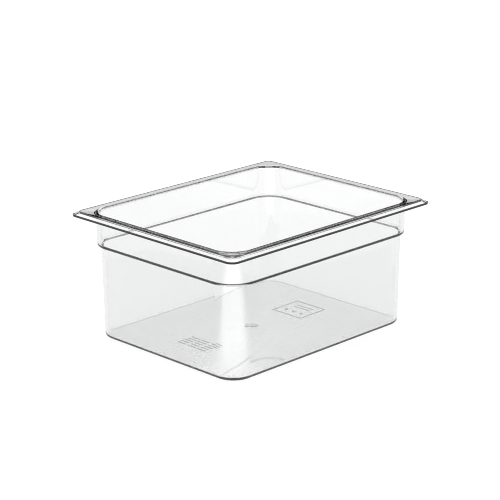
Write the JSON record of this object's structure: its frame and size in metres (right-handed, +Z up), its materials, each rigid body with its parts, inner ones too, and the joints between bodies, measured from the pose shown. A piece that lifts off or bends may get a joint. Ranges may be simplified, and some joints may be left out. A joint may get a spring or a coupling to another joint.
{
  "type": "deli food pan",
  "caption": "Clear half-size food pan with a broad flange, a stacking shoulder and tapered walls, for holding and displaying deli food in a cold or hot well.",
  "frame": {"origin": "centre of the pan's outline, on the plane of its underside", "axes": "+X along the long side, +Y along the short side, +Z up out of the mouth"},
  "size_m": [0.325, 0.265, 0.15],
  "materials": {
    "clear_plastic": "clear polycarbonate, glossy, with a fine matte texture on the floor"
  },
  "bodies": {
    "root": {"pan_body": "clear_plastic"}
  },
  "joints": []
}
